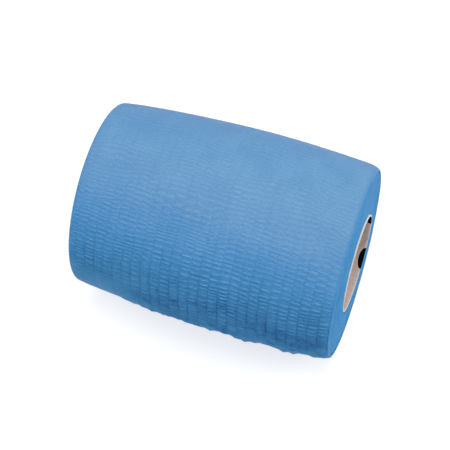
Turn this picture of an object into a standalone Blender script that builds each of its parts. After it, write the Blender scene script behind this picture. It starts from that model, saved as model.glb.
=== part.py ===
"""A cohesive bandage roll lying on its side: a crinkled elastic strip wound on a paperboard tube.

Units are metres, +Z is up and +X runs along the roll. The origin is on the resting surface, under
the middle of the roll.
"""

import math

import bmesh
import bpy

# Driving dimensions
CLOTH_WIDTH = 0.0750
LEFT_END_RADIUS = 0.0258
RIGHT_END_RADIUS = 0.0273
BELLY = 0.0021
LAYER = 0.00065
REST_DEPTH = 0.0006
CORE_BORE_RADIUS = 0.0133
CORE_WALL = 0.0006
CORE_LENGTH = 0.0757
FIT_GAP = 0.0003

# The laps lean a little, so the cut-edge faces aren't quite square to the axis: the shift along the
# roll for each metre above the axis, and for each metre behind it
LEAN_UP = -0.019
LEAN_BACK = -0.009

# The shoulders between the wound side and the two cut-edge faces
SHOULDER_COLUMNS = ("side", "depth", "height")
SHOULDERS = (
    (-1, 0.0009, 0.0013),
    (1, 0.0030, 0.0009),
)
SHOULDER_POWER = 2.4
SHOULDER_STEPS = 5
FACE_DOME = 0.0003

# The rows of elastic threads that draw the cloth into channels
THREAD_COUNT = 26
THREAD_PITCH = 0.00275
CHANNEL_DEPTH = 0.00025

# The tail of the strip lies stuck down on the hidden lower back of the roll
TAIL_ANGLE = math.radians(236)
TAIL_STEP_WIDTH = 0.00025

# Soft swells and hollows of the wound side: place along the roll, angle from the top towards the
# front, height, and how far each spreads along and around
UNEVENNESS_COLUMNS = ("x", "angle_deg", "height", "spread_x", "spread_around")
UNEVENNESS = (
    (-0.0300, -40, 0.00015, 0.010, 0.012),
    (-0.0100, -30, -0.00015, 0.012, 0.010),
    (0.0160, -38, 0.00020, 0.012, 0.010),
    (-0.0240, 105, -0.00020, 0.010, 0.009),
    (-0.0040, 104, 0.00025, 0.007, 0.008),
    (0.0150, 108, -0.00015, 0.008, 0.008),
    (0.0290, 100, 0.00020, 0.009, 0.012),
    (0.0050, 215, 0.00030, 0.016, 0.010),
    (-0.0200, 265, 0.00025, 0.012, 0.014),
    (0.0220, 290, -0.00020, 0.012, 0.012),
)

AROUND_STEPS = 56
CORE_STEPS = 72

CORE_OUTER_RADIUS = CORE_BORE_RADIUS + CORE_WALL
WINDING_BORE_RADIUS = CORE_OUTER_RADIUS + FIT_GAP
HALF_WIDTH = CLOTH_WIDTH / 2
MIDDLE_RADIUS = (LEFT_END_RADIUS + RIGHT_END_RADIUS) / 2 + BELLY
AXIS_HEIGHT = MIDDLE_RADIUS - REST_DEPTH


def clear_scene():
    for obj in list(bpy.data.objects):
        bpy.data.objects.remove(obj)


def make_material(name, colour, roughness):
    """A Principled material with no metal in it. The colour is linear RGB."""
    material = bpy.data.materials.new(name)
    material.use_nodes = True
    shader = material.node_tree.nodes["Principled BSDF"]
    shader.inputs["Base Color"].default_value = (*colour, 1.0)
    shader.inputs["Roughness"].default_value = roughness
    shader.inputs["Metallic"].default_value = 0.0
    return material


def smooth_bump(distance):
    """A soft hill, 1 at distance 0 and close to 0 past 2."""
    return math.exp(-distance * distance)


def unevenness(x, angle, radius):
    """How far the wound side stands out of, or sinks into, its even barrel form."""
    total = 0.0
    for row in UNEVENNESS:
        swell = dict(zip(UNEVENNESS_COLUMNS, row))
        turn = math.remainder(angle - math.radians(swell["angle_deg"]), math.tau)
        along = (x - swell["x"]) / swell["spread_x"]
        around = turn * radius / swell["spread_around"]
        total += swell["height"] * smooth_bump(math.hypot(along, around))
    return total


def barrel_radius(x):
    """The even outer radius at x: a straight taper between the ends, plus the belly."""
    share = min(max((x + HALF_WIDTH) / CLOTH_WIDTH, 0.0), 1.0)
    taper = LEFT_END_RADIUS + (RIGHT_END_RADIUS - LEFT_END_RADIUS) * share
    return taper + BELLY * 4 * share * (1 - share)


def spiral_rise(angle):
    """The strip's winding: the radius grows by one layer round to the tail, and drops there."""
    share = ((angle - TAIL_ANGLE) % math.tau) / math.tau
    return LAYER * (share - 0.5)


def channel_rows():
    """(x, drop) along the side between the two outer threads: channels and the crests between them."""
    first = -THREAD_PITCH * (THREAD_COUNT - 1) / 2
    rows = []
    for thread in range(THREAD_COUNT):
        x = first + thread * THREAD_PITCH
        rows.append((x, CHANNEL_DEPTH))
        if thread < THREAD_COUNT - 1:
            rows.append((x + THREAD_PITCH / 2, 0.0))
    return rows


def shoulder_rows(row):
    """(x, drop) over one rounded shoulder of the table, from the wound side to the cut-edge face."""
    shoulder = dict(zip(SHOULDER_COLUMNS, row))
    rows = []
    for step in range(SHOULDER_STEPS + 1):
        turn = math.pi / 2 * step / SHOULDER_STEPS
        out = math.sin(turn) ** (2 / SHOULDER_POWER)
        up = math.cos(turn) ** (2 / SHOULDER_POWER)
        x = HALF_WIDTH - FACE_DOME - shoulder["depth"] * (1 - out)
        rows.append((shoulder["side"] * x, shoulder["height"] * (1 - up)))
    return rows


def winding_profile():
    """The closed section of the cloth as (x, kind, value): kind is a drop below the side or a radius."""
    left, right = (shoulder_rows(row) for row in SHOULDERS)
    profile = [(x, "drop", drop) for x, drop in reversed(left)]
    profile += [(x, "drop", drop) for x, drop in channel_rows()]
    profile += [(x, "drop", drop) for x, drop in right]
    middle_of_face = (WINDING_BORE_RADIUS + LEFT_END_RADIUS) / 2
    dome = FACE_DOME * 0.7
    profile.append((HALF_WIDTH - FACE_DOME + dome, "radius", middle_of_face))
    profile.append((HALF_WIDTH, "radius", WINDING_BORE_RADIUS))
    profile.append((-HALF_WIDTH, "radius", WINDING_BORE_RADIUS))
    profile.append((-HALF_WIDTH + FACE_DOME - dome, "radius", middle_of_face))
    return profile


def section_angles():
    """The angles of the sections round the roll, with a close pair at the tail for its step."""
    step = math.tau / AROUND_STEPS
    narrow = TAIL_STEP_WIDTH / MIDDLE_RADIUS
    angles = [TAIL_ANGLE + step * index for index in range(AROUND_STEPS)]
    angles.append(TAIL_ANGLE + math.tau - narrow)
    return angles


def winding_point(x, kind, value, angle):
    """The point of one profile row at one angle. Angle 0 is the top and 90 degrees is the front."""
    if kind == "radius":
        radius = value
    else:
        even = barrel_radius(x)
        radius = even - value + spiral_rise(angle) + unevenness(x, angle, even)
    y = -radius * math.sin(angle)
    up = radius * math.cos(angle)
    lean = LEAN_UP * up + LEAN_BACK * y
    return x + lean, y, max(AXIS_HEIGHT + up, 0.0)


def build_cloth_roll():
    """The wound strip as one closed solid, lying on its flattened belly."""
    profile = winding_profile()
    mesh = bmesh.new()
    rings = []
    for angle in section_angles():
        rings.append([mesh.verts.new(winding_point(*row, angle)) for row in profile])
    for index, ring in enumerate(rings):
        following = rings[(index + 1) % len(rings)]
        for row in range(len(profile)):
            after = (row + 1) % len(profile)
            mesh.faces.new((ring[row], ring[after], following[after], following[row]))
    bmesh.ops.recalc_face_normals(mesh, faces=mesh.faces)
    return add_object("cloth_roll", mesh, make_material("cohesive_cloth", (0.075, 0.260, 0.540), 0.75))


def build_core_tube():
    """The paperboard tube, a little longer than the cloth is wide, turned about the roll's axis."""
    half = CORE_LENGTH / 2
    section = (
        (-half, CORE_BORE_RADIUS),
        (-half, CORE_OUTER_RADIUS),
        (half, CORE_OUTER_RADIUS),
        (half, CORE_BORE_RADIUS),
    )
    mesh = bmesh.new()
    corners = [mesh.verts.new((x, 0.0, radius)) for x, radius in section]
    edges = [mesh.edges.new((corners[i], corners[(i + 1) % 4])) for i in range(4)]
    bmesh.ops.spin(
        mesh,
        geom=corners + edges,
        cent=(0.0, 0.0, 0.0),
        axis=(1.0, 0.0, 0.0),
        angle=math.tau,
        steps=CORE_STEPS,
        use_merge=True,
    )
    bmesh.ops.recalc_face_normals(mesh, faces=mesh.faces)
    tube = add_object("core_tube", mesh, make_material("paperboard", (0.46, 0.36, 0.32), 0.85))
    tube.location = (0.0, 0.0, AXIS_HEIGHT)
    return tube


def add_object(name, mesh, material):
    data = bpy.data.meshes.new(name)
    mesh.to_mesh(data)
    mesh.free()
    data.materials.append(material)
    data.shade_smooth()
    data.set_sharp_from_angle(angle=math.radians(40))
    obj = bpy.data.objects.new(name, data)
    bpy.context.scene.collection.objects.link(obj)
    return obj


clear_scene()
build_cloth_roll()
build_core_tube()
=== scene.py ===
"""The looks of a cohesive bandage roll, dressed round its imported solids.

Units are metres, +Z is up and +X runs along the roll. An angle round the roll is 0 at the top and
90 degrees at the front. A winding is the angle travelled along the strip, from its start at the core
to its tail. The strip's lower side has one radius at each winding, and its upper side has the radius
that the lower side reaches one turn later. The roll's left end is side -1 and its right end side 1.
Where a noise field is read, an added whole number only picks another place on its lattice.
"""

import math

import bmesh
import bpy
import numpy as np
from mathutils import Matrix, Vector


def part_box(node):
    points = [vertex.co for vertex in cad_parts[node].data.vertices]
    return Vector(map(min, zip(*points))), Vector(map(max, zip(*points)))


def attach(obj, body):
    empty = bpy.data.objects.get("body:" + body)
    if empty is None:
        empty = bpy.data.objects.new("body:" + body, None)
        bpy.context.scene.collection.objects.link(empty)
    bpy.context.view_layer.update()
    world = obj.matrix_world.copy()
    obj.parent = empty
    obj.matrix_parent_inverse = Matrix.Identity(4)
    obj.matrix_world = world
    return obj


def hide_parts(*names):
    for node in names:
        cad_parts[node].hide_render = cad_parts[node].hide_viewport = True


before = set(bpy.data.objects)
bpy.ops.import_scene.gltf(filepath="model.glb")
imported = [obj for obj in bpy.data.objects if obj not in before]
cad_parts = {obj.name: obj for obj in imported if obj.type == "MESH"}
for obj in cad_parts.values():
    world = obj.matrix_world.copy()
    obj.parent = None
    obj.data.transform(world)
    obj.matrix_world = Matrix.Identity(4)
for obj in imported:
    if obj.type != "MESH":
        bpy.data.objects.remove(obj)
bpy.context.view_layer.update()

# The solids that the pieces dress
core_low, core_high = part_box("core_tube")
AXIS_HEIGHT = (core_low[2] + core_high[2]) / 2
CORE_OUTER_RADIUS = (core_high[2] - core_low[2]) / 2
CORE_HALF_LENGTH = core_high[0]

# Room that keeps the pieces apart: between the outer turn and what is under it, between its edges and
# the end faces, and from the floor up to its lower side and to the inner turns
PIECE_GAP = 0.00003
EDGE_INSET = 0.00020
LOWER_SIDE_FLOOR = 0.0004
INNER_FLOOR = 0.00045

# The wound strip, in the sizes of the solids
CLOTH_WIDTH = 0.0750
HALF_WIDTH = CLOTH_WIDTH / 2
LEFT_END_RADIUS = 0.0258
RIGHT_END_RADIUS = 0.0273
BELLY = 0.0021
LAYER = 0.00065
WINDING_BORE_RADIUS = CORE_OUTER_RADIUS + PIECE_GAP
LEAN_UP = -0.019
LEAN_BACK = -0.009
TAIL_ANGLE = math.radians(236)
FACE_DOME = 0.0003

# Soft swells and hollows of the wound side, as in the solids
UNEVENNESS_COLUMNS = ("x", "angle_deg", "height", "spread_x", "spread_around")
UNEVENNESS = (
    (-0.0300, -40, 0.00015, 0.010, 0.012),
    (-0.0100, -30, -0.00015, 0.012, 0.010),
    (0.0160, -38, 0.00020, 0.012, 0.010),
    (-0.0240, 105, -0.00020, 0.010, 0.009),
    (-0.0040, 104, 0.00025, 0.007, 0.008),
    (0.0150, 108, -0.00015, 0.008, 0.008),
    (0.0290, 100, 0.00020, 0.009, 0.012),
    (0.0050, 215, 0.00030, 0.016, 0.010),
    (-0.0200, 265, 0.00025, 0.012, 0.014),
    (0.0220, 290, -0.00020, 0.012, 0.012),
)

# The strip's turns round the core, and how far the outer turn's start runs on under the tail
TURNS = 17
TUCK_ANGLE = 0.09
FULL_WINDING = TURNS * math.tau
LAST_LAP_WINDING = FULL_WINDING - math.tau - TUCK_ANGLE

# The shoulders that the laps droop over towards the two end faces, the right one rounder than in the
# solids
SHOULDER_DEPTH = {-1: 0.0009, 1: 0.0030}
SHOULDER_HEIGHT = {-1: 0.0013, 1: 0.0009}
SHOULDER_POWER = {-1: 2.4, 1: 1.8}

# The elastic threads and the grooves that they draw, shallower at the outermost two and where the
# cloth is pulled smooth
THREAD_COUNT = 27
THREAD_PITCH = 0.00275
THREAD_SHIFT = 0.00105
FIRST_THREAD = THREAD_SHIFT - THREAD_PITCH * (THREAD_COUNT - 1) / 2
LAST_THREAD = FIRST_THREAD + THREAD_PITCH * (THREAD_COUNT - 1)
GROOVE_DEPTH = 0.00009
GROOVE_WIDTH = 0.00014
OUTER_THREAD_SHARE = 0.35
PULLED_GROOVE_SHARE = 0.25

# The puckers that run across each row of cloth between two threads, the finer ones on them, and the
# soft arch of the row. A slack row has sharper puckers
RIDGE_PITCH = 0.00132
RIDGE_HEIGHT = 0.00021
RIDGE_SKEW = 0.5
RIDGE_SHARPNESS = 1.4
SLACK_SHARPNESS = 1.2
ARCH_POWER = 0.20
FINE_RATIO = 1.72
FINE_SHARE = 0.30
FINE_NOISE = 1.2
FINE_ROW_STEP = 0.3
BILLOW_HEIGHT = 0.00005
BILLOW_MIDDLE = 0.7
BILLOW_VARIATION = 0.8

# How far each noise field moves the puckers along the strip, in puckers
SHARED_PHASE = 1.2
NEAR_PHASE = 0.30
OWN_PHASE = 0.75
PULLED_OWN_SHARE = 0.3
STRETCH_PHASE = 0.30
BOW_PHASE = 0.34

# The puckers' strength: its middle, what patches and a slow field add to it, and its limits
STRENGTH_MIDDLE = 0.78
PATCH_STRENGTH = 0.40
SLOW_STRENGTH = 0.16
STRENGTH_LIMITS = (0.55, 1.3)

# The noise fields of the cloth: reach along the strip, reach across it or else step from one row of
# cloth to the next, where the field is read, and its seed
FIELD_COLUMNS = ("reach_along", "reach_across", "row_step", "offset", "seed")
CLOTH_FIELDS = {
    "shared": (0.0080, 0.0105, None, 0, 11),
    "near": (0.0032, 0.0042, None, 40, 12),
    "own": (0.0045, None, 1.7, 40, 19),
    "stretch": (0.0026, None, 2.3, 15, 21),
    "bow": (0.0040, None, 1.3, 90, 13),
    "patch": (0.0020, 0.0060, None, 10, 20),
    "brick": (0.0020, None, 2.1, 10, 15),
    "slow": (0.0070, 0.0070, None, 30, 17),
    "billow": (0.0120, None, 1.1, 60, 16),
    "lump": (0.0052, 0.0030, None, 70, 18),
}

# How slack the cloth is round the roll, and where its left end is pulled smooth low on the front
FULL_SLACK = 1.71
SLACK_BASE = 0.39
SLACK_COLUMNS = ("angle_deg", "gain", "spread_deg")
SLACK_PLACES = (
    (92, 1.32, 36),
    (215, 0.40, 60),
)
PULLED_ANGLE = math.radians(76)
PULLED_SPREAD = math.radians(16)
PULLED_START = -0.0080
PULLED_GROWTH = 0.0200
PULLED_LOSS = 0.65

# The bigger lumps that make the lower outline uneven, fuller towards the right end
LUMP_HEIGHT = 0.00075
LUMP_LOWEST = -0.3
LUMP_START = -0.0300
LUMP_GROWTH = 0.0150
LUMP_ANGLE = math.radians(122)
LUMP_SPREAD = math.radians(16)

# The painted shade in the gullies: shares of a thread's groove and of the hollow between puckers, the
# level under which a pucker counts as hollow, and how slack the cloth has to be
GROOVE_SHADE = 0.30
HOLLOW_SHADE = 0.65
HOLLOW_LEVEL = 0.85
HOLLOW_GAIN = 1.4
GULLY_SHADE_START = 0.25

# The strip's plain margins past the last threads: how far the gathers run out over them
MARGIN_FADE = 0.0024
MARGIN_FULLNESS = 1.2
MARGIN_ARCH_GAIN = 3

# The outer turn's mesh: rows along the strip, closer together at the slack front, and columns across
# it at shares of each row of cloth, over the margins and round the edges
OUTER_STEPS_PER_TURN = 650
CLOSE_ROWS_ANGLE = math.radians(78)
CLOSE_ROWS_SPREAD = math.radians(48)
CLOSE_ROWS_GAIN = 1.3
ROW_TABLE_STEPS = 4000
CELL_SAMPLES = (0.0, 0.07, 0.50, 0.93)
MARGIN_STEPS = {-1: 8, 1: 3}
EDGE_STEPS = 3
LOWER_BEVEL_SHARE = 0.1
LOWER_BEVEL_DEPTH = 0.9

# The cut edges of the inner turns, seen on the two end faces: the grooves between the laps, shallow
# beside the outer turn, how far the laps slide out, and how they wave
INNER_STEPS_PER_TURN = 440
LAP_SAMPLES = 4
WOUND_SIDE_COLUMNS = 12
LAP_GROOVE = 0.00022
OUTER_GROOVE_SHARE = 0.2
TELESCOPE = 0.00016
SLIDE_ANGLE = 1.1
EDGE_WAVE = 0.00007
WOBBLE_SHARE = 0.7
WOBBLE_REACH = 0.0016
WOBBLE_LAP_STEP = 3.0
RUFFLE_REACH = 0.0011
RUFFLE_LAP_STEP = 5.0
WOBBLE_SEED = 40
SLIDE_SEED = 44
RUFFLE_SEED = 48

# The paperboard tube, and how the cloth rises round it on the end faces
CORE_WALL = 0.00045
CORE_BORE_RADIUS = CORE_OUTER_RADIUS - CORE_WALL
CORE_FACE_RISE = 0.00042
CORE_FACE_SPREAD = 0.0030
CORE_STEPS = 240
CORE_COLUMNS = 120
CORE_OUTER_COLUMNS = 60
CORE_BORE_INSET = 0.0001
CORE_OUTER_SHARE = 0.99
SEAM_LEAD = 0.055
SEAM_DEPTH = 0.00010

# The tube's cut rim, from the bore outwards: how far it lies in from the tube's end, and its height
# over the bore
RIM_COLUMNS = ("inset", "height")
RIM = (
    (0.00002, 0.00006),
    (0.0, 0.0001485),
    (0.00003, 0.000225),
    (0.0, 0.0003015),
    (0.00003, 0.00037),
    (0.00012, CORE_WALL),
)
RIM_REACH = 0.00015

# The unevenness of the tube's wall, and the burr of its cut rim
RIPPLE_HEIGHT = 0.00004
RIPPLE_PER_RADIAN = 3.0
RIPPLE_REACH = 0.012
RIPPLE_SEED = 61
BURR_HEIGHT = 0.00003
BURR_PER_RADIAN = 22.0
BURR_SEED = 62

# Two plain printed dots on the tube's inner wall: place along the roll, angle, and half sizes
DOT_COLUMNS = ("x", "angle_deg", "half_x", "half_arc")
DOTS = (
    (0.0378, 220, 0.0014, 0.0032),
    (0.0374, 284, 0.0014, 0.0029),
)
DOT_ROUGHNESS = 0.12

# Colours, linear RGB
# The valley and crest colours paint shade into the hollows between puckers and light onto their crests
CLOTH_VALLEY_SHADED = (0.116, 0.238, 0.466)
CLOTH_CREST_LIT = (0.138, 0.274, 0.516)
MARGIN_TINT = (0.094, 0.218, 0.442)
THREAD_TINT = (0.200, 0.370, 0.600)
# Painted shade for the gullies: the threads' grooves and the hollows between puckers
CLOTH_GULLY_SHADE = (0.072, 0.158, 0.310)
EDGE_VALLEY = (0.102, 0.230, 0.460)
EDGE_CREST = (0.118, 0.258, 0.500)
PAPER_INSIDE = (0.550, 0.468, 0.432)
PAPER_DARKER = tuple(0.72 * channel for channel in PAPER_INSIDE)
PAPER_CUT = (0.730, 0.715, 0.700)
INK = (0.006, 0.007, 0.016)
FLOOR_WHITE = (0.36, 0.36, 0.36)
FLOOR_GLOW = 0.76
FLOOR_HALF_SIZE = 3.0

# How strongly the tints and the painted gully shade show on the wound side, and the lengths that they
# blend over
THREAD_SHARE = 0.05
GULLY_SHADE_SHARE = 0.38
MARGIN_SHARE = 0.7
MARGIN_BLEND = 0.0015
MARGIN_BLEND_END = 0.0004
THREAD_LINE_EDGE = 0.00026
THREAD_LINE_CORE = 0.00008
THREAD_FIELD_MARGIN = 0.0003

# Scales of the surface patterns. Those of the cloth count from millimetres, and the others from metres
CREASE_SCALE = (0.70, 2.2, 1.0)
FIBRE_SCALE = (1.2, 6.0, 1.0)
FIBRE_ANGLE_DEG = 30
CROSS_FIBRE_ANGLE_DEG = -35
KNOT_SCALE = (0.5, 1.5, 1.0)
MOTTLE_SCALE = 0.12
EDGE_FIBRE_SCALE = (4200.0, 2600.0, 2600.0)
EDGE_PATCH_SCALE = 160.0
FLECK_SCALE = 1500.0
PULP_SCALE = (500.0, 1500.0, 1500.0)
CREASE_BUMP = 0.00014
WEB_BUMP = 0.00002
EDGE_FIBRE_BUMP = 0.00006
PULP_BUMP = 0.00005
MILLIMETRES = 1000

# The camera that took the photograph, found from the roll's outline
IMAGE_WIDTH = 450
CAMERA_AZIMUTH = math.radians(18.83)
CAMERA_ELEVATION = math.radians(56.24)
CAMERA_DISTANCE = 0.400
FOCAL_PIXELS = 1435.0
SENSOR_WIDTH = 36.0
CENTRE_PIXEL = (227.1, 226.4)

# Soft lights: bearing and height in degrees, distance and size in metres, and power in watts
LIGHT_COLUMNS = ("name", "azimuth_deg", "elevation_deg", "distance", "size", "power")
LIGHTS = (
    ("overhead", 0, 84, 0.90, 0.74, 8.1),
    ("front_low", 45, 12, 0.90, 0.60, 0.14),
    ("right_side", 109, 30, 0.90, 0.60, 4.1),
    ("left_side", 270, 35, 0.90, 0.60, 2.1),
)
AMBIENT = 0.06

# The photograph's tone curve: scene light in, picture light out
TONE_CURVE = (
    (0.04, 0.012),
    (0.08, 0.034),
    (0.11, 0.061),
    (0.165, 0.160),
    (0.34, 0.370),
    (0.49, 0.545),
    (0.63, 0.612),
    (0.80, 0.790),
)


def smooth_noise(along, across, seed):
    """Value noise from -1 to 1 on a wrapped lattice of random values, eased between its points."""
    lattice = np.random.default_rng(seed).uniform(-1, 1, (256, 256))
    i = np.floor(along).astype(int)
    j = np.floor(across).astype(int)
    u = along - i
    v = across - j
    u = u * u * (3 - 2 * u)
    v = v * v * (3 - 2 * v)
    low = lattice[i % 256, j % 256] * (1 - v) + lattice[i % 256, (j + 1) % 256] * v
    high = lattice[(i + 1) % 256, j % 256] * (1 - v) + lattice[(i + 1) % 256, (j + 1) % 256] * v
    return low * (1 - u) + high * u


def turn_from(angle, middle):
    """The turn from a middle angle to another, from minus half a turn to half a turn."""
    return (angle - middle + math.pi) % math.tau - math.pi


def hill(distance):
    """A soft hill, 1 at distance 0 and close to 0 past 2."""
    return np.exp(-(distance**2))


def even_radius(x):
    """The solids' even outer radius at x: a straight taper between the ends, plus the belly."""
    share = np.clip((x + HALF_WIDTH) / CLOTH_WIDTH, 0, 1)
    taper = LEFT_END_RADIUS + (RIGHT_END_RADIUS - LEFT_END_RADIUS) * share
    return taper + BELLY * 4 * share * (1 - share)


def unevenness(x, angle):
    """How far the wound side stands out of, or sinks into, its even barrel form."""
    total = np.zeros(np.broadcast(x, angle).shape)
    for row in UNEVENNESS:
        swell = dict(zip(UNEVENNESS_COLUMNS, row))
        turn = turn_from(angle, math.radians(swell["angle_deg"]))
        along = (x - swell["x"]) / swell["spread_x"]
        around = turn * even_radius(x) / swell["spread_around"]
        total += swell["height"] * np.exp(-(along**2) - around**2)
    return total


def margin_droop(x):
    """How far the strip droops over the roll's rounded shoulders."""
    depth = np.where(x < 0, SHOULDER_DEPTH[-1], SHOULDER_DEPTH[1])
    height = np.where(x < 0, SHOULDER_HEIGHT[-1], SHOULDER_HEIGHT[1])
    power = np.where(x < 0, SHOULDER_POWER[-1], SHOULDER_POWER[1])
    outside = np.clip((np.abs(x) - HALF_WIDTH + FACE_DOME + depth) / depth, 0, 1)
    return height * (1 - (1 - outside**power) ** (1 / power))


def lower_radius(x, winding):
    """The radius of the strip's lower side at a winding."""
    share = winding / (FULL_WINDING + math.tau)
    outer = even_radius(x) + LAYER / 2
    swell = unevenness(x, winding + TAIL_ANGLE) - margin_droop(x)
    return WINDING_BORE_RADIUS + (outer - WINDING_BORE_RADIUS) * share + swell * share**3


def upper_radius(x, winding):
    """The radius of the strip's upper side at a winding."""
    return lower_radius(x, winding + math.tau)


def place(x, radius, angle, floor):
    """Points of the leaning roll, none of them lower than the floor height given."""
    y = -radius * np.sin(angle)
    up = radius * np.cos(angle)
    leaning = x + LEAN_UP * up + LEAN_BACK * y
    return np.stack([leaning, y, np.maximum(AXIS_HEIGHT + up, floor)], axis=-1)


def make_object(name, vertices, faces, material, node):
    """A closed mesh with outward normals, riding on the roll's body in place of a solid."""
    data = bpy.data.meshes.new(name)
    data.from_pydata(vertices.tolist(), [], faces)
    mesh = bmesh.new()
    mesh.from_mesh(data)
    bmesh.ops.recalc_face_normals(mesh, faces=mesh.faces)
    mesh.to_mesh(data)
    mesh.free()
    data.shade_smooth()
    data.materials.append(material)
    piece = bpy.data.objects.new(name, data)
    bpy.context.scene.collection.objects.link(piece)
    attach(piece, "root")
    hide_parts(node)
    return piece


def add_strip_map(data, u, v):
    """A UV map in strip widths: u across the strip and v along it."""
    layer = data.uv_layers.new(name="strip")
    corners = np.empty(len(data.loops), dtype=np.int32)
    data.loops.foreach_get("vertex_index", corners)
    uv = np.stack([u.ravel()[corners], v.ravel()[corners]], axis=-1)
    layer.data.foreach_set("uv", uv.astype(np.float32).ravel())


def add_share(data, name, values):
    """One number from 0 to 1 for each vertex, which the material reads."""
    attribute = data.attributes.new(name, "FLOAT", "POINT")
    attribute.data.foreach_set("value", values.astype(np.float32).ravel())


def grid_faces(index, closed_columns=False):
    """Quads between the neighbouring entries of a table of vertex numbers."""
    if closed_columns:
        index = np.concatenate([index, index[:, :1]], axis=1)
    quads = np.stack([index[:-1, :-1], index[:-1, 1:], index[1:, 1:], index[1:, :-1]], axis=-1)
    return quads.reshape(-1, 4).tolist()


def zip_faces(upper, lower):
    """Triangles between two rows of (x, vertex number) that run along +X and share both ends."""
    faces = []
    i = j = 0
    while i < len(upper) - 1 or j < len(lower) - 1:
        step_upper = j == len(lower) - 1 or (i < len(upper) - 1 and upper[i + 1][0] < lower[j + 1][0])
        if step_upper:
            corners = (upper[i][1], upper[i + 1][1], lower[j][1])
            i += 1
        else:
            corners = (upper[i][1], lower[j + 1][1], lower[j][1])
            j += 1
        if len(set(corners)) == 3:
            faces.append(corners)
    return faces


def slackness(x, angle):
    """How full the gathers stand round the roll: pulled smoother on top, slacker at the front."""
    total = np.full(np.broadcast(x, angle).shape, SLACK_BASE)
    for row in SLACK_PLACES:
        slack_place = dict(zip(SLACK_COLUMNS, row))
        turn = turn_from(angle, math.radians(slack_place["angle_deg"]))
        total += slack_place["gain"] * hill(turn / math.radians(slack_place["spread_deg"]))
    on_front = angle % math.tau < math.pi
    low = np.clip((angle % math.tau - PULLED_ANGLE) / PULLED_SPREAD, 0, 1) * on_front
    left = np.clip((PULLED_START - x) / PULLED_GROWTH, 0, 1)
    return total * (1 - PULLED_LOSS * low * left)


def cloth_noise(name, x, arc, cell):
    """A noise field of the cloth at x, an arc length along the strip and a row between threads."""
    field = dict(zip(FIELD_COLUMNS, CLOTH_FIELDS[name]))
    if field["reach_across"]:
        across = x / field["reach_across"]
    else:
        across = cell * field["row_step"]
    return smooth_noise(arc / field["reach_along"], across + field["offset"], field["seed"])


def cloth_rows(x):
    """The row of cloth at x, the arch between its two threads, and the fade over the margins."""
    place_in_rows = (x - FIRST_THREAD) / THREAD_PITCH
    cell = np.floor(place_in_rows + 1e-6)
    u = np.clip(place_in_rows - cell, 0, 1)
    gathered = (cell >= 0) & (cell < THREAD_COUNT - 1)
    past = np.maximum(FIRST_THREAD - x, x - LAST_THREAD) / MARGIN_FADE
    arch = np.where(gathered, 4 * u * (1 - u), np.clip(past * MARGIN_ARCH_GAIN, 0, 1))
    fade = np.where(gathered, 1.0, np.clip(MARGIN_FULLNESS - past * MARGIN_FULLNESS, 0, 1))
    return cell, arch, fade


def thread_grooves(x):
    """How deep the grooves are at x, 1 in the middle of a thread's groove."""
    place_in_rows = (x - FIRST_THREAD) / THREAD_PITCH
    nearest = np.clip(np.round(place_in_rows), 0, THREAD_COUNT - 1)
    groove = hill(np.abs(place_in_rows - nearest) * THREAD_PITCH / GROOVE_WIDTH)
    outermost = (nearest == 0) | (nearest == THREAD_COUNT - 1)
    return np.where(outermost, OUTER_THREAD_SHARE * groove, groove)


def puckers(x, arc, cell, arch, loose):
    """How high the puckers stand. Where the cloth is pulled smooth they run on across the threads, and
    where it is loose each row of cloth puckers by itself."""
    near = cloth_noise("near", x, arc, cell)
    own = OWN_PHASE * (PULLED_OWN_SHARE + (1 - PULLED_OWN_SHARE) * loose**2)
    phase = arc / RIDGE_PITCH
    phase = phase + SHARED_PHASE * cloth_noise("shared", x, arc, cell)
    phase = phase + NEAR_PHASE * near
    phase = phase + own * cloth_noise("own", x, arc, cell)
    phase = phase + STRETCH_PHASE * loose * cloth_noise("stretch", x, arc, cell)
    phase = phase + BOW_PHASE * cloth_noise("bow", x, arc, cell) * arch * loose
    wave = 0.5 + 0.5 * np.cos(math.tau * phase + RIDGE_SKEW * np.sin(math.tau * phase))
    patches = cloth_noise("patch", x, arc, cell) * (1 - loose)
    bricks = cloth_noise("brick", x, arc, cell) * loose
    strength = STRENGTH_MIDDLE + PATCH_STRENGTH * (patches + bricks)
    strength = np.clip(strength + SLOW_STRENGTH * cloth_noise("slow", x, arc, cell), *STRENGTH_LIMITS)
    fine_phase = FINE_RATIO * phase + FINE_NOISE * near + FINE_ROW_STEP * cell
    fine = 0.5 + 0.5 * np.cos(math.tau * fine_phase)
    sharpness = RIDGE_SHARPNESS + SLACK_SHARPNESS * loose
    return wave**sharpness * strength + FINE_SHARE * fine * loose


def outline_lumps(x, arc, angle, cell, arch, fade):
    """The height of the bigger lumps, low on the front."""
    growth = np.clip((x - LUMP_START) / LUMP_GROWTH, 0, 1)
    lump = cloth_noise("lump", x, arc, cell) * np.sqrt(arch) * fade * growth
    return LUMP_HEIGHT * np.clip(lump, LUMP_LOWEST, 1) * hill(turn_from(angle, LUMP_ANGLE) / LUMP_SPREAD)


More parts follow.
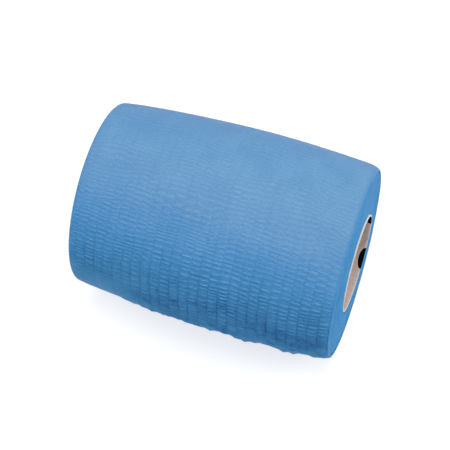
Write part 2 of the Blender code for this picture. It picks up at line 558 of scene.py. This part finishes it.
def crinkle(x, arc, angle):
    """The gathered cloth's height, its crest share, which paints light on the crests and shade in the
    valleys, and its share of painted shade in the gullies, at x across the strip, an arc length along it
    and an angle round the roll."""
    cell, arch, fade = cloth_rows(x)
    slack = slackness(x, angle)
    loose = slack / FULL_SLACK
    ridge = puckers(x, arc, cell, arch, loose) * arch ** (ARCH_POWER * loose) * fade
    billow = (BILLOW_MIDDLE + BILLOW_VARIATION * cloth_noise("billow", x, arc, cell)) * arch * fade
    groove = thread_grooves(x)
    groove_depth = GROOVE_DEPTH * (PULLED_GROOVE_SHARE + (1 - PULLED_GROOVE_SHARE) * loose)
    height = RIDGE_HEIGHT * ridge + BILLOW_HEIGHT * billow - groove_depth * groove
    lump = outline_lumps(x, arc, angle, cell, arch, fade)
    # Painted shade: darker in the threads' grooves and the hollows between low puckers, only where the
    # cloth is slack
    hollow = np.clip(HOLLOW_LEVEL - HOLLOW_GAIN * ridge, 0, 1) * fade
    slack_enough = np.clip(loose - GULLY_SHADE_START, 0, 1) / (1 - GULLY_SHADE_START)
    gully_shade = (GROOVE_SHADE * groove + HOLLOW_SHADE * hollow) * slack_enough
    # The clipped ridge height is the crest share: painted light on the crests, painted shade in the
    # valleys
    return height * slack + lump, np.clip(ridge, 0, 1), gully_shade


def strip_section():
    """The strip's closed section as (x, depth), depth 0 on its upper side and 1 on its lower side."""
    edge = []
    for step in range(EDGE_STEPS):
        turn = math.pi / 2 * step / EDGE_STEPS
        x = HALF_WIDTH - EDGE_INSET - FACE_DOME * (1 - math.cos(turn))
        edge.append((x, 0.5 * (1 - math.sin(turn))))
    inner_margin = HALF_WIDTH - EDGE_INSET - FACE_DOME
    margins = {}
    for side, thread in ((-1, FIRST_THREAD), (1, LAST_THREAD)):
        width = inner_margin - abs(thread)
        margins[side] = [
            (side * (inner_margin - width * (step / MARGIN_STEPS[side]) ** 2), 0.0)
            for step in range(MARGIN_STEPS[side])
        ]
    cells = [
        (FIRST_THREAD + THREAD_PITCH * (cell + share), 0.0)
        for cell in range(THREAD_COUNT - 1)
        for share in CELL_SAMPLES
    ]
    cells.append((LAST_THREAD, 0.0))
    left = [(-x, depth) for x, depth in edge] + margins[-1]
    upper = left + cells + margins[1][::-1] + edge[::-1]
    below = [(LAST_THREAD - THREAD_PITCH * 2 * step, 1.0) for step in range(THREAD_COUNT // 2)]
    bevel_x = HALF_WIDTH - EDGE_INSET - FACE_DOME * LOWER_BEVEL_SHARE
    right_end = [(bevel_x, LOWER_BEVEL_DEPTH), (inner_margin, 1.0)]
    left_end = [(-inner_margin, 1.0), (-bevel_x, LOWER_BEVEL_DEPTH)]
    return upper, right_end + below + left_end


def row_windings(start, steps):
    """The windings of the outer turn's rows, closer together where the cloth is slack."""
    fine = np.linspace(start, FULL_WINDING, ROW_TABLE_STEPS + 1)
    turn = turn_from(fine + TAIL_ANGLE, CLOSE_ROWS_ANGLE)
    density = 1 + CLOSE_ROWS_GAIN * hill(turn / CLOSE_ROWS_SPREAD)
    total = np.concatenate([[0.0], np.cumsum((density[1:] + density[:-1]) / 2)])
    return np.interp(np.linspace(0, total[-1], steps + 1), total, fine)


def build_outer_turn(material):
    """The last turn of the strip, from where it comes out under the tail to the tail's cut edge."""
    upper, lower = strip_section()
    section = np.array(upper + lower)
    x = section[:, 0][None, :]
    depth = section[:, 1][None, :]
    start = LAST_LAP_WINDING + PIECE_GAP / LEFT_END_RADIUS
    steps = round(OUTER_STEPS_PER_TURN * (FULL_WINDING - start) / math.tau)
    winding = row_windings(start, steps)[:, None]
    arc = (winding - start) * (LEFT_END_RADIUS + BELLY)
    low = lower_radius(x, winding) + PIECE_GAP
    high = upper_radius(x, winding)
    height, crest_light, gully_shade = crinkle(x, arc, winding + TAIL_ANGLE)
    surface = np.clip(1 - 2 * depth, 0, 1)
    radius = high - depth * (high - low) + height * surface
    floor = np.where(depth > 0.5, LOWER_SIDE_FLOOR, 0.0)
    vertices = place(x, radius, winding + TAIL_ANGLE, floor)
    count = section.shape[0]
    index = np.arange((steps + 1) * count).reshape(steps + 1, count)
    faces = grid_faces(index, closed_columns=True)
    # The start under the tail and the tail's cut edge
    for row in (index[0], index[-1]):
        top = [(upper[k][0], int(row[k])) for k in range(len(upper))]
        bottom = [(lower[k][0], int(row[len(upper) + k])) for k in range(len(lower))][::-1]
        faces += zip_faces(top, [top[0]] + bottom + [top[-1]])
    piece = make_object(
        "bandage_outer_turn", vertices.reshape(-1, 3), faces, material, "cloth_roll"
    )
    add_strip_map(piece.data, *np.broadcast_arrays(x / CLOTH_WIDTH + 0.5, arc / CLOTH_WIDTH))
    # Share of painted light on the puckers' crests, and of painted shade in their valleys
    add_share(piece.data, "crest_light", crest_light * surface)
    # Share of painted shade in the gullies
    add_share(piece.data, "gully_shade", gully_shade * surface)
    return piece


def lap_edge_points(side, winding, share):
    """Points on one end face: share runs from 0 to 1 across the thickness of the strip's edge."""
    x = side * HALF_WIDTH
    low = lower_radius(x, winding)
    high = upper_radius(x, winding)
    arc = winding * (low + high) / 2
    laps = winding / math.tau
    wobble = EDGE_WAVE * smooth_noise(arc / WOBBLE_REACH, laps * WOBBLE_LAP_STEP, WOBBLE_SEED + side)
    ruffle = EDGE_WAVE * smooth_noise(arc / RUFFLE_REACH, laps * RUFFLE_LAP_STEP, RUFFLE_SEED + side)
    radius = low + (high - low) * share + wobble * WOBBLE_SHARE
    # In a groove between two laps, the slide is the mean of theirs
    slide = smooth_noise(winding / SLIDE_ANGLE, 0 * winding, SLIDE_SEED + side)
    slide_under = smooth_noise((winding - math.tau) / SLIDE_ANGLE, 0 * winding, SLIDE_SEED + side)
    slide = TELESCOPE * np.where(share > 0, slide, (slide + slide_under) / 2)
    hollow = 1 - np.sqrt(np.clip(1 - (2 * share - 1) ** 2, 0, 1))
    # The outer turn lies close on the last lap, so the groove beside it is shallow
    hollow = np.where(winding > LAST_LAP_WINDING, OUTER_GROOVE_SHARE * hollow, hollow)
    dome = FACE_DOME * ((radius - WINDING_BORE_RADIUS) / (LEFT_END_RADIUS - WINDING_BORE_RADIUS)) ** 2
    rise = CORE_FACE_RISE * hill((radius - WINDING_BORE_RADIUS) / CORE_FACE_SPREAD)
    out = HALF_WIDTH - dome + rise + slide + ruffle - LAP_GROOVE * hollow
    return place(side * out, radius, winding + TAIL_ANGLE, INNER_FLOOR)


def build_inner_turns(material):
    """All the turns under the outer one, with the edge of every lap showing on both end faces."""
    per_turn = INNER_STEPS_PER_TURN
    step = math.tau / per_turn
    last = round(LAST_LAP_WINDING / step)
    groove_count = last + per_turn + 1
    groove_winding = np.arange(groove_count) * step
    lap_winding = np.arange(last + 1) * step
    points = []
    faces = []
    groove_start = {}
    lap_table = {}
    first = 0
    for side in (-1, 1):
        groove = np.arange(first, first + groove_count)
        groove_start[side] = first
        points.append(lap_edge_points(side, groove_winding, np.zeros(groove_count)))
        first += groove_count
        columns = [groove[: last + 1]]
        for sample in range(1, LAP_SAMPLES):
            share = np.full(last + 1, sample / LAP_SAMPLES)
            points.append(lap_edge_points(side, lap_winding, share))
            columns.append(np.arange(first, first + last + 1))
            first += last + 1
        columns.append(groove[per_turn:])
        lap_table[side] = np.stack(columns, axis=-1)
        faces += grid_faces(lap_table[side])
    # The wound side under the outer turn
    x = np.linspace(-HALF_WIDTH, HALF_WIDTH, WOUND_SIDE_COLUMNS + 2)[None, 1:-1]
    wound = np.arange(last, last + per_turn + 1)[:, None]
    winding = wound * step
    side_points = place(x, lower_radius(x, winding), winding + TAIL_ANGLE, INNER_FLOOR)
    points.append(side_points.reshape(-1, 3))
    side_index = first + np.arange(wound.size * x.size).reshape(wound.size, x.size)
    wound_table = np.concatenate([groove_start[-1] + wound, side_index, groove_start[1] + wound], axis=1)
    faces += grid_faces(wound_table)
    # The bore, and the two steps where the strip starts and where the outer turn takes over
    turn_rows = np.arange(per_turn + 1)
    faces += grid_faces(np.stack([groove_start[-1] + turn_rows, groove_start[1] + turn_rows], axis=-1))
    faces += grid_faces(np.stack([lap_table[-1][0], lap_table[1][0]], axis=-1))
    faces += grid_faces(np.stack([wound_table[0, 1:-1], wound_table[-1, 1:-1]], axis=0))
    for side, column in ((-1, 1), (1, -2)):
        corners = [int(wound_table[-1, column]), int(wound_table[0, column])]
        faces.append(lap_table[side][-1].tolist() + corners)
    vertices = np.concatenate([block.reshape(-1, 3) for block in points])
    return make_object("bandage_inner_turns", vertices, faces, material, "cloth_roll")


def core_section():
    """The tube's closed section as (x, radius): bore, cut rim, outer side, cut rim."""
    bore_x = np.linspace(-1, 1, CORE_COLUMNS) * (CORE_HALF_LENGTH - CORE_BORE_INSET)
    bore = [(x, CORE_BORE_RADIUS) for x in bore_x]
    rim = []
    for row in RIM:
        point = dict(zip(RIM_COLUMNS, row))
        rim.append((CORE_HALF_LENGTH - point["inset"], CORE_BORE_RADIUS + point["height"]))
    outer_x = np.linspace(CORE_OUTER_SHARE, -CORE_OUTER_SHARE, CORE_OUTER_COLUMNS) * CORE_HALF_LENGTH
    outer = [(x, CORE_OUTER_RADIUS) for x in outer_x]
    left_rim = [(-x, radius) for x, radius in rim[::-1]]
    return np.array(bore + rim + outer + left_rim)


def build_core(material):
    """The spiral-wound paperboard tube. Its mesh is twisted, so the seams follow its lines."""
    section = core_section()
    x = section[:, 0][None, :]
    radius = section[:, 1][None, :]
    around = np.arange(CORE_STEPS)[:, None]
    angle = math.tau * (around / CORE_STEPS + x / SEAM_LEAD)
    on_bore = radius < CORE_BORE_RADIUS + RIM[0][1] / 2
    on_seam = (around == 0) & on_bore
    at_rim = (np.abs(x) > CORE_HALF_LENGTH - RIM_REACH) & ~on_bore
    ripple = smooth_noise(angle * RIPPLE_PER_RADIAN + 50, x / RIPPLE_REACH + 20, RIPPLE_SEED)
    burr = smooth_noise(angle * BURR_PER_RADIAN + 100, 0 * x + 5, BURR_SEED)
    uneven = radius + SEAM_DEPTH * on_seam + RIPPLE_HEIGHT * ripple
    y = -uneven * np.sin(angle)
    z = AXIS_HEIGHT + uneven * np.cos(angle)
    out = x - np.sign(x) * BURR_HEIGHT * np.abs(burr) * at_rim
    vertices = np.stack([out, y, z], axis=-1)
    index = np.arange(CORE_STEPS * len(section)).reshape(CORE_STEPS, len(section))
    table = np.concatenate([index, index[:1]], axis=0)
    faces = grid_faces(table, closed_columns=True)
    piece = make_object("core", vertices.reshape(-1, 3), faces, material, "core_tube")
    add_share(piece.data, "cut", np.broadcast_to(~on_bore, angle.shape))
    add_share(piece.data, "seam", on_seam)
    return piece


class Nodes:
    """Short calls that add and join a material's nodes."""

    def __init__(self, name):
        self.material = bpy.data.materials.new(name)
        self.material.use_nodes = True
        self.tree = self.material.node_tree
        self.shader = self.tree.nodes["Principled BSDF"]

    def add(self, kind, inputs=None, **settings):
        """A node with its settings. An input is a value or another node's output socket."""
        node = self.tree.nodes.new(kind)
        for name, value in settings.items():
            setattr(node, name, value)
        for key, value in (inputs or {}).items():
            self.join(value, node.inputs[key])
        return node

    def join(self, value, socket):
        """Links a socket to another node's output, or gives it a value."""
        if isinstance(value, bpy.types.NodeSocket):
            self.tree.links.new(value, socket)
        else:
            socket.default_value = value

    def math(self, operation, a, b=0.0):
        return self.add("ShaderNodeMath", {0: a, 1: b}, operation=operation).outputs[0]

    def times(self, a, b):
        return self.math("MULTIPLY", a, b)

    def length(self, a, b):
        """The length of a pair of coordinates."""
        return self.math("SQRT", self.math("ADD", self.times(a, a), self.times(b, b)))

    def ramp(self, value, low, high):
        """0 below low and 1 above high, eased between. low may be above high, to fall instead."""
        node = self.add(
            "ShaderNodeMapRange",
            {"Value": value, "From Min": low, "From Max": high},
            interpolation_type="SMOOTHSTEP",
        )
        return node.outputs["Result"]

    def shade(self, value, low, high, darkest, lightest):
        """A factor that runs evenly from darkest at low to lightest at high."""
        node = self.add("ShaderNodeMapRange", {"Value": value, "From Min": low, "From Max": high})
        node.inputs["To Min"].default_value = darkest
        node.inputs["To Max"].default_value = lightest
        return node.outputs["Result"]

    def mix(self, factor, a, b):
        """One colour to another by a factor. A colour is linear RGB or a socket."""
        node = self.add("ShaderNodeMix", data_type="RGBA")
        self.join(factor, node.inputs[0])
        for socket, colour in ((node.inputs[6], a), (node.inputs[7], b)):
            self.join((*colour, 1.0) if isinstance(colour, tuple) else colour, socket)
        return node.outputs[2]

    def noise(self, vector, scale=1.0, detail=2.0, dimensions="3D"):
        node = self.add(
            "ShaderNodeTexNoise",
            {"Vector": vector, "Scale": scale, "Detail": detail},
            noise_dimensions=dimensions,
        )
        return node.outputs["Fac"]

    def share(self, name):
        """A number that add_share gave to each vertex."""
        return self.add("ShaderNodeAttribute", attribute_name=name).outputs["Fac"]

    def scaled(self, vector, scale, turn_deg=0.0):
        node = self.add("ShaderNodeMapping", {"Vector": vector, "Scale": scale})
        node.inputs["Rotation"].default_value = (0.0, 0.0, math.radians(turn_deg))
        return node.outputs["Vector"]

    def bump(self, height, distance, normal=None):
        inputs = {"Height": height, "Distance": distance, "Strength": 1.0}
        if normal is not None:
            inputs["Normal"] = normal
        return self.add("ShaderNodeBump", inputs).outputs["Normal"]

    def finish(self, colour, factor, normal, roughness, specular):
        """Joins a colour, shaded by a factor, and a normal to the shader, and gives the material."""
        shaded = self.add("ShaderNodeVectorMath", {0: colour, 1: factor}, operation="MULTIPLY")
        self.join(shaded.outputs[0], self.shader.inputs["Base Color"])
        self.join(normal, self.shader.inputs["Normal"])
        self.shader.inputs["Roughness"].default_value = roughness
        self.shader.inputs["Specular IOR Level"].default_value = specular
        return self.material


def thread_line(nodes, millimetres, across):
    """1 along the middle of each thread, where the thread shows through the cloth in places."""
    from_first = nodes.math("SUBTRACT", across, (HALF_WIDTH + FIRST_THREAD) * MILLIMETRES)
    rows = nodes.math("DIVIDE", from_first, THREAD_PITCH * MILLIMETRES)
    distance = nodes.times(nodes.math("PINGPONG", rows, 0.5), THREAD_PITCH * MILLIMETRES)
    line = nodes.ramp(distance, THREAD_LINE_EDGE * MILLIMETRES, THREAD_LINE_CORE * MILLIMETRES)
    on_field = nodes.math("COMPARE", across, HALF_WIDTH * MILLIMETRES)
    on_field.node.inputs[2].default_value = (LAST_THREAD + THREAD_FIELD_MARGIN) * MILLIMETRES
    knots = nodes.noise(nodes.scaled(millimetres, KNOT_SCALE), detail=1.0, dimensions="2D")
    return nodes.times(nodes.times(line, on_field), nodes.ramp(knots, 0.40, 0.62))


def outer_cloth_material():
    """Crinkled nonwoven: fine creases across the threads, bonded fibres, threads showing through, and
    painted light on the puckers' crests with painted shade in their valleys and gullies.
    """
    nodes = Nodes("cohesive_cloth_outer")
    strip = nodes.add("ShaderNodeUVMap", uv_map="strip").outputs["UV"]
    millimetres = nodes.scaled(strip, (CLOTH_WIDTH * MILLIMETRES, CLOTH_WIDTH * MILLIMETRES, 1.0))
    across = nodes.add("ShaderNodeSeparateXYZ", {0: millimetres}).outputs[0]
    creases = nodes.noise(nodes.scaled(millimetres, CREASE_SCALE), detail=3.0, dimensions="2D")
    fibres = nodes.noise(nodes.scaled(millimetres, FIBRE_SCALE, FIBRE_ANGLE_DEG), dimensions="2D")
    cross = nodes.noise(nodes.scaled(millimetres, FIBRE_SCALE, CROSS_FIBRE_ANGLE_DEG), dimensions="2D")
    web = nodes.math("ADD", fibres, cross)
    mottle = nodes.noise(millimetres, MOTTLE_SCALE, detail=3.0, dimensions="2D")
    thread = thread_line(nodes, millimetres, across)
    # Painted light and shade: lighter on the puckers' crests and darker in their valleys
    colour = nodes.mix(nodes.share("crest_light"), CLOTH_VALLEY_SHADED, CLOTH_CREST_LIT)
    colour = nodes.mix(nodes.times(thread, THREAD_SHARE), colour, THREAD_TINT)
    # Painted shade, darker in the gullies of the grooves and hollows
    colour = nodes.mix(nodes.times(nodes.share("gully_shade"), GULLY_SHADE_SHARE), colour, CLOTH_GULLY_SHADE)
    # The plain margins past the last threads have close to the colour of the cut edges
    from_middle = nodes.math("ABSOLUTE", nodes.math("SUBTRACT", across, HALF_WIDTH * MILLIMETRES))
    blend_start = (HALF_WIDTH - MARGIN_BLEND) * MILLIMETRES
    blend_end = (HALF_WIDTH - MARGIN_BLEND_END) * MILLIMETRES
    margin = nodes.ramp(from_middle, blend_start, blend_end)
    colour = nodes.mix(nodes.times(margin, MARGIN_SHARE), colour, MARGIN_TINT)
    factor = nodes.times(nodes.shade(web, 0.7, 1.3, 0.90, 1.10), nodes.shade(mottle, 0.3, 0.7, 0.96, 1.04))
    normal = nodes.bump(web, WEB_BUMP, nodes.bump(creases, CREASE_BUMP))
    return nodes.finish(colour, factor, normal, roughness=0.62, specular=0.12)


def inner_cloth_material():
    """The same cloth seen on its cut edges: fibrous and a little uneven from lap to lap."""
    nodes = Nodes("cohesive_cloth_edges")
    where = nodes.add("ShaderNodeTexCoord").outputs["Object"]
    fibres = nodes.noise(nodes.scaled(where, EDGE_FIBRE_SCALE), detail=3.0)
    patches = nodes.noise(where, EDGE_PATCH_SCALE)
    colour = nodes.mix(fibres, EDGE_VALLEY, EDGE_CREST)
    factor = nodes.shade(patches, 0.3, 0.7, 0.95, 1.06)
    normal = nodes.bump(fibres, EDGE_FIBRE_BUMP)
    return nodes.finish(colour, factor, normal, roughness=0.90, specular=0.08)


def core_material():
    """Recycled paperboard: a pinkish grey wall with flecks, paler where it is cut, and its seam."""
    nodes = Nodes("paperboard_core")
    where = nodes.add("ShaderNodeTexCoord").outputs["Object"]
    flecks = nodes.noise(where, FLECK_SCALE, detail=3.0)
    pulp = nodes.noise(nodes.scaled(where, PULP_SCALE), detail=4.0)
    colour = nodes.mix(nodes.share("cut"), PAPER_INSIDE, PAPER_CUT)
    colour = nodes.mix(nodes.times(nodes.ramp(flecks, 0.56, 0.70), 0.5), colour, PAPER_DARKER)
    colour = nodes.mix(nodes.times(nodes.share("seam"), 0.7), colour, PAPER_DARKER)
    colour = nodes.mix(dot_mask(nodes, where, flecks), colour, INK)
    factor = nodes.shade(pulp, 0.25, 0.75, 0.92, 1.06)
    return nodes.finish(colour, factor, nodes.bump(pulp, PULP_BUMP), roughness=0.85, specular=0.3)


def dot_mask(nodes, where, flecks):
    """1 inside the printed dots on the tube's inner wall, with edges that the paper roughens."""
    xyz = nodes.add("ShaderNodeSeparateXYZ", {0: where})
    up = nodes.math("SUBTRACT", xyz.outputs[2], AXIS_HEIGHT)
    front = nodes.times(xyz.outputs[1], -1.0)
    total = 0.0
    for row in DOTS:
        dot = dict(zip(DOT_COLUMNS, row))
        turn = math.radians(dot["angle_deg"])
        # Coordinates turned so that the dot's own angle is at zero
        ahead = nodes.math("SUBTRACT", nodes.times(front, math.cos(turn)), nodes.times(up, math.sin(turn)))
        level = nodes.math("ADD", nodes.times(up, math.cos(turn)), nodes.times(front, math.sin(turn)))
        arc = nodes.times(nodes.math("ARCTAN2", ahead, level), CORE_BORE_RADIUS / dot["half_arc"])
        along = nodes.math("DIVIDE", nodes.math("SUBTRACT", xyz.outputs[0], dot["x"]), dot["half_x"])
        rough = nodes.math("ADD", nodes.length(arc, along), nodes.times(flecks, DOT_ROUGHNESS))
        total = nodes.math("ADD", nodes.ramp(rough, 1.08, 0.98), total)
    # The ink is on the bore, so the rim and the outer side stay bare
    inside = nodes.ramp(nodes.length(up, front), CORE_BORE_RADIUS + 0.00025, CORE_BORE_RADIUS + 0.00015)
    return nodes.math("MINIMUM", nodes.times(total, inside), 1.0)


def floor_material():
    """A plain pale floor that glows a little, so that it stays white round the roll."""
    nodes = Nodes("floor")
    nodes.shader.inputs["Base Color"].default_value = (*FLOOR_WHITE, 1.0)
    nodes.shader.inputs["Emission Color"].default_value = (1.0, 1.0, 1.0, 1.0)
    nodes.shader.inputs["Emission Strength"].default_value = FLOOR_GLOW
    nodes.shader.inputs["Roughness"].default_value = 0.9
    nodes.shader.inputs["Specular IOR Level"].default_value = 0.0
    return nodes.material


def build_floor():
    data = bpy.data.meshes.new("floor")
    size = FLOOR_HALF_SIZE
    corners = [(-size, -size, 0), (size, -size, 0), (size, size, 0), (-size, size, 0)]
    data.from_pydata(corners, [], [(0, 1, 2, 3)])
    data.materials.append(floor_material())
    floor = bpy.data.objects.new("floor", data)
    bpy.context.scene.collection.objects.link(floor)


def direction(azimuth, elevation):
    """The unit vector from the object towards a camera or light. Azimuth 0 stands in front of it."""
    flat = math.cos(elevation)
    return Vector((math.sin(azimuth) * flat, -math.cos(azimuth) * flat, math.sin(elevation)))


def aim(obj, back, distance):
    """Puts an object out from the roll's middle along back, looking at it with its top up."""
    right = Vector((0, 0, 1)).cross(back).normalized()
    up = back.cross(right)
    obj.location = Vector((0, 0, AXIS_HEIGHT)) + back * distance
    obj.matrix_world = Matrix.Translation(obj.location) @ Matrix((right, up, back)).transposed().to_4x4()


def build_camera():
    data = bpy.data.cameras.new("camera")
    data.sensor_width = SENSOR_WIDTH
    data.lens = FOCAL_PIXELS / IMAGE_WIDTH * SENSOR_WIDTH
    data.shift_x = -(CENTRE_PIXEL[0] - IMAGE_WIDTH / 2) / IMAGE_WIDTH
    data.shift_y = (CENTRE_PIXEL[1] - IMAGE_WIDTH / 2) / IMAGE_WIDTH
    data.clip_start = 0.01
    camera = bpy.data.objects.new("camera", data)
    bpy.context.scene.collection.objects.link(camera)
    aim(camera, direction(CAMERA_AZIMUTH, CAMERA_ELEVATION), CAMERA_DISTANCE)
    bpy.context.scene.camera = camera


def build_lights():
    """The soft lights, and a faint even light from all round."""
    for row in LIGHTS:
        light = dict(zip(LIGHT_COLUMNS, row))
        data = bpy.data.lights.new(light["name"], "AREA")
        data.shape = "DISK"
        data.size = light["size"]
        data.energy = light["power"]
        lamp = bpy.data.objects.new(light["name"], data)
        bpy.context.scene.collection.objects.link(lamp)
        back = direction(math.radians(light["azimuth_deg"]), math.radians(light["elevation_deg"]))
        aim(lamp, back, light["distance"])
    world = bpy.data.worlds.new("studio")
    world.use_nodes = True
    world.node_tree.nodes["Background"].inputs["Color"].default_value = (1.0, 1.0, 1.0, 1.0)
    world.node_tree.nodes["Background"].inputs["Strength"].default_value = AMBIENT
    bpy.context.scene.world = world


def set_tone():
    """The plain view transform under the tone curve, with all that is over 1 left white."""
    settings = bpy.context.scene.view_settings
    settings.view_transform = "Standard"
    settings.use_curve_mapping = True
    mapping = settings.curve_mapping
    mapping.extend = "HORIZONTAL"
    for scene_light, picture_light in TONE_CURVE:
        mapping.curves[3].points.new(scene_light, picture_light)
    mapping.update()


set_tone()
build_camera()
build_lights()
build_floor()
build_outer_turn(outer_cloth_material())
build_inner_turns(inner_cloth_material())
build_core(core_material())
